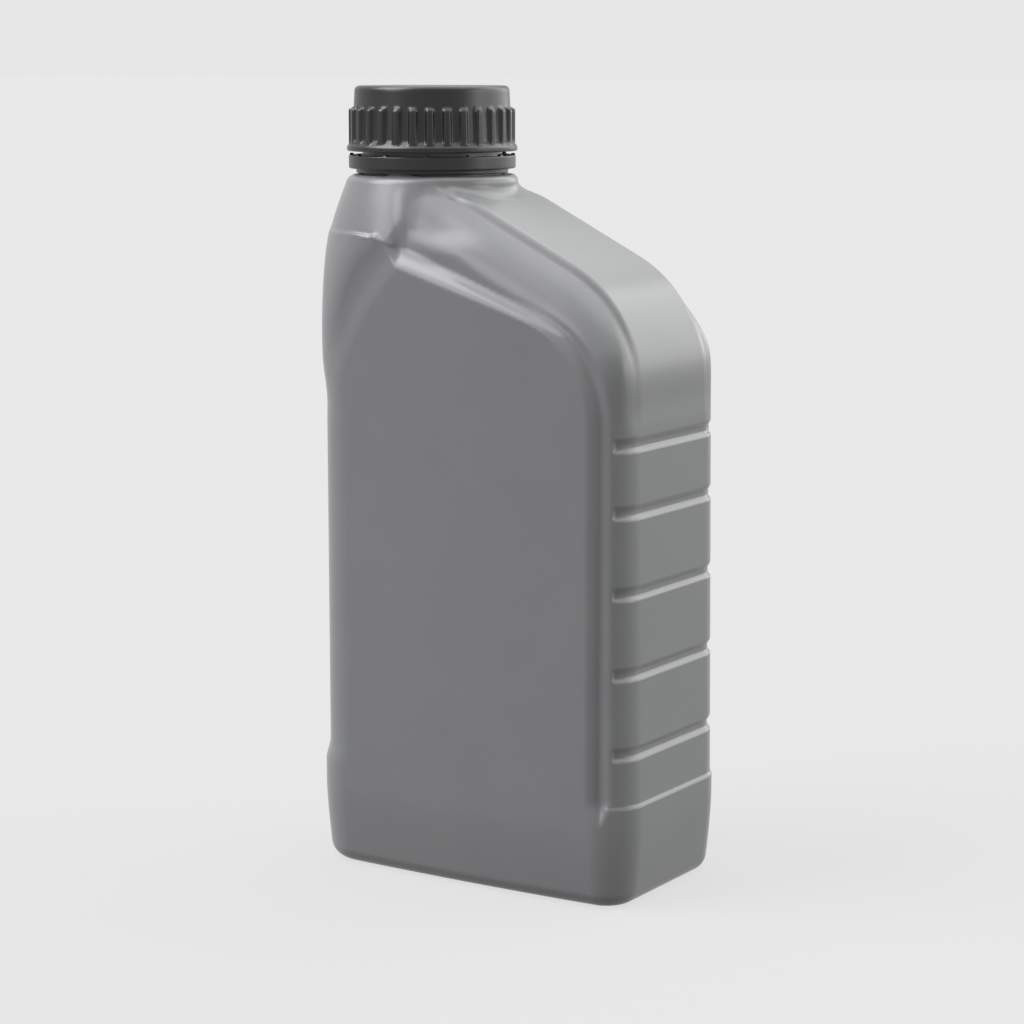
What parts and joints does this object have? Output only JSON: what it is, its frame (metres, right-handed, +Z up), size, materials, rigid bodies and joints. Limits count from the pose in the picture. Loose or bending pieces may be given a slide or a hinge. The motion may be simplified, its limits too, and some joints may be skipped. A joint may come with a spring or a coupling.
{
  "type": "fluid bottle",
  "caption": "Offset-neck blow-moulded plastic fluid bottle with raised face panels, finger grooves on its grip end, a ribbed screw cap, a sealing liner and a tamper ring.",
  "frame": {"origin": "middle of the body, on the surface that the bottle stands on", "axes": "+Z up, +X from the neck towards the grip end, the two faces look along -Y and +Y"},
  "size_m": [0.1104, 0.064, 0.2318],
  "materials": {
    "bottle_plastic": "satin, blow moulded polyethylene",
    "cap_plastic": "satin, injection moulded polypropylene",
    "liner_foam": "matt foamed polyethylene"
  },
  "bodies": {
    "bottle": {"bottle": "bottle_plastic", "tamper_ring": "cap_plastic"},
    "closure": {"cap_liner": "liner_foam"},
    "cap": {"cap": "cap_plastic"}
  },
  "joints": [
    {"name": "cap_rise", "type": "slide", "parent": "bottle", "child": "closure", "axis": [0, 0, 1], "range_m": [0, 0.018]},
    {"name": "cap_turn", "type": "hinge", "parent": "closure", "child": "cap", "pos_m": [-0.0291, 0, 0.22], "axis": [0, 0, 1], "range_deg": [0, 1290]}
  ],
  "couplings": [
    {"joint": "cap_rise", "follows": "cap_turn", "m_per_rad": 0.00079577}
  ]
}
